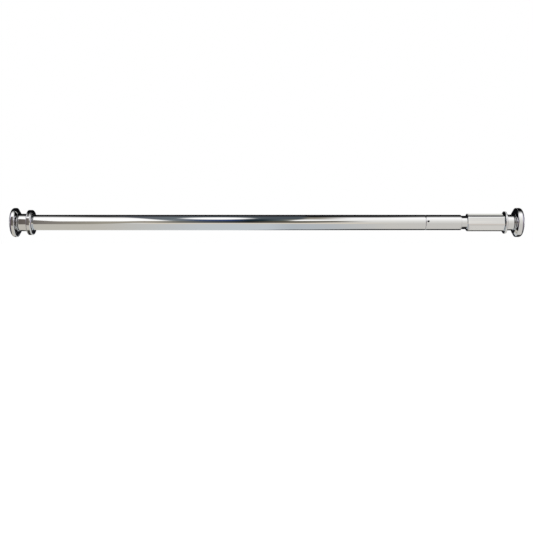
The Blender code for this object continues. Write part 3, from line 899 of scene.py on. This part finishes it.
def tent_material():
    """Light of the painted colours."""
    material = bpy.data.materials.new("tent_light")
    material.use_nodes = True
    tree = material.node_tree
    tree.nodes.clear()
    attribute = tree.nodes.new("ShaderNodeAttribute")
    attribute.attribute_name = "studio"
    emission = tree.nodes.new("ShaderNodeEmission")
    output = tree.nodes.new("ShaderNodeOutputMaterial")
    tree.links.new(attribute.outputs["Color"], emission.inputs["Color"])
    tree.links.new(emission.outputs["Emission"], output.inputs["Surface"])
    return material


def light_tent():
    """A cylinder of painted light around the bar, closed at both ends, which only reflections see."""
    outer = np.linspace(TENT_REACH, TENT_FINE, TENT_OUTER_COLUMNS)
    fine = np.linspace(-TENT_FINE, TENT_FINE, TENT_FINE_COLUMNS)[1:-1]
    side = np.concatenate(([-TENT_REACH], -outer, fine, outer[::-1], [TENT_REACH]))
    columns = len(side)
    radius = np.full(columns, TENT_RADIUS)
    radius[[0, -1]] = TENT_END_RADIUS
    height = np.linspace(-180.0, 180.0, TENT_ROWS)
    side_grid, height_grid = np.meshgrid(side, height)
    colour = studio_colour(side_grid, height_grid)
    angle = np.radians(height_grid)
    across = (CAMERA_DISTANCE + TENT_RADIUS) * side_grid + CAMERA_X
    points = np.stack((across, -radius * np.cos(angle), radius * np.sin(angle)), axis=-1)
    corner = (np.arange(TENT_ROWS - 1)[:, None] * columns + np.arange(columns - 1)[None, :]).ravel()
    faces = np.stack((corner, corner + 1, corner + columns + 1, corner + columns), axis=-1)
    mesh = bpy.data.meshes.new("light_tent")
    mesh.from_pydata(points.reshape(-1, 3).tolist(), [], faces.tolist())
    paint = mesh.color_attributes.new("studio", "FLOAT_COLOR", "POINT")
    flat = np.concatenate((colour.reshape(-1, 3), np.ones((TENT_ROWS * columns, 1))), axis=1)
    paint.data.foreach_set("color", flat.ravel())
    tent = bpy.data.objects.new("light_tent", mesh)
    bpy.context.scene.collection.objects.link(tent)
    mesh.materials.append(tent_material())
    tent.visible_camera = False
    tent.visible_diffuse = False
    tent.visible_transmission = False
    tent.visible_volume_scatter = False
    tent.visible_shadow = False


def floor():
    """A pale floor, far below the bar."""
    bm = bmesh.new()
    signs = [(-1.0, -1.0), (1.0, -1.0), (1.0, 1.0), (-1.0, 1.0)]
    bm.faces.new([bm.verts.new((x * FLOOR_REACH, y * FLOOR_REACH, FLOOR_Z)) for x, y in signs])
    obj = as_object("studio_floor", bm)
    made = Nodes("pale_floor")
    tone = made.noise(3.0, detail=2.0)
    made.link(made.mix(tone, (0.93, 0.93, 0.93), (0.96, 0.96, 0.955)), made.shader.inputs["Base Color"])
    made.shader.inputs["Roughness"].default_value = 0.9
    made.shader.inputs["Emission Color"].default_value = (1.0, 1.0, 1.0, 1.0)
    made.shader.inputs["Emission Strength"].default_value = 0.12
    obj.data.materials.append(made.material)
    obj.visible_glossy = False


def lights():
    """A white surrounding and one large soft light above, behind the camera."""
    world = bpy.data.worlds.new("white_surround")
    world.use_nodes = True
    background = world.node_tree.nodes["Background"]
    background.inputs["Color"].default_value = (1.0, 1.0, 1.0, 1.0)
    background.inputs["Strength"].default_value = 1.0
    bpy.context.scene.world = world
    data = bpy.data.lights.new("soft_key", "AREA")
    data.shape = "RECTANGLE"
    data.size = 2.4
    data.size_y = 1.6
    data.energy = 40.0
    key = bpy.data.objects.new("soft_key", data)
    key.location = (CAMERA_X - 0.5, -1.6, 2.2)
    aim = Vector((CAMERA_X, 0.0, 0.0)) - key.location
    key.rotation_euler = aim.to_track_quat("-Z", "Y").to_euler()
    key.visible_glossy = False
    bpy.context.scene.collection.objects.link(key)


def camera():
    """The camera stands level with the bar, opposite its middle."""
    data = bpy.data.cameras.new("camera")
    data.lens = CAMERA_LENS
    data.sensor_width = 36.0
    data.clip_end = 100.0
    obj = bpy.data.objects.new("camera", data)
    obj.location = (CAMERA_X, -CAMERA_DISTANCE, 0.0)
    obj.rotation_euler = (math.radians(90.0 - CAMERA_PITCH), 0.0, 0.0)
    bpy.context.scene.collection.objects.link(obj)
    bpy.context.scene.camera = obj
    bpy.context.scene.view_settings.view_transform = "Standard"


# ---------------------------------------------------------------- the whole picture

def carried_over():
    """Give every node that keeps its own mesh the material of its slot."""
    for subpart in frame["record"]["subparts"]:
        obj = frame["nodes"][subpart["node"]]
        material = SLOT_MATERIALS[subpart["material_slot"]]
        if not obj.material_slots:
            obj.data.materials.append(material)
        for slot in obj.material_slots:
            slot.material = material


carried_over()
for side_name, place in (("left", at_left), ("right", at_right)):
    cup(side_name, side_name + "_end", place)
    pad(side_name, side_name + "_end", place)
left_neck()
right_neck()
main_tube()
slide_tube()
hex_sleeve()
jack_screw()
socket_screw(
    "nut_lock_pin_head", "nut_lock_pin", "bar", PIN_X, PIN_ANGLE,
    radius=1.3, tip=10.9, head=12.3, flats=1.3, depth=0.8,
)
socket_screw(
    "hex_lock_screw_head", "hex_lock_screw", "screw", LOCK_X, LOCK_ANGLE,
    radius=2.0, tip=8.8, head=13.2, flats=2.4, depth=1.6,
)
light_tent()
floor()
lights()
camera()
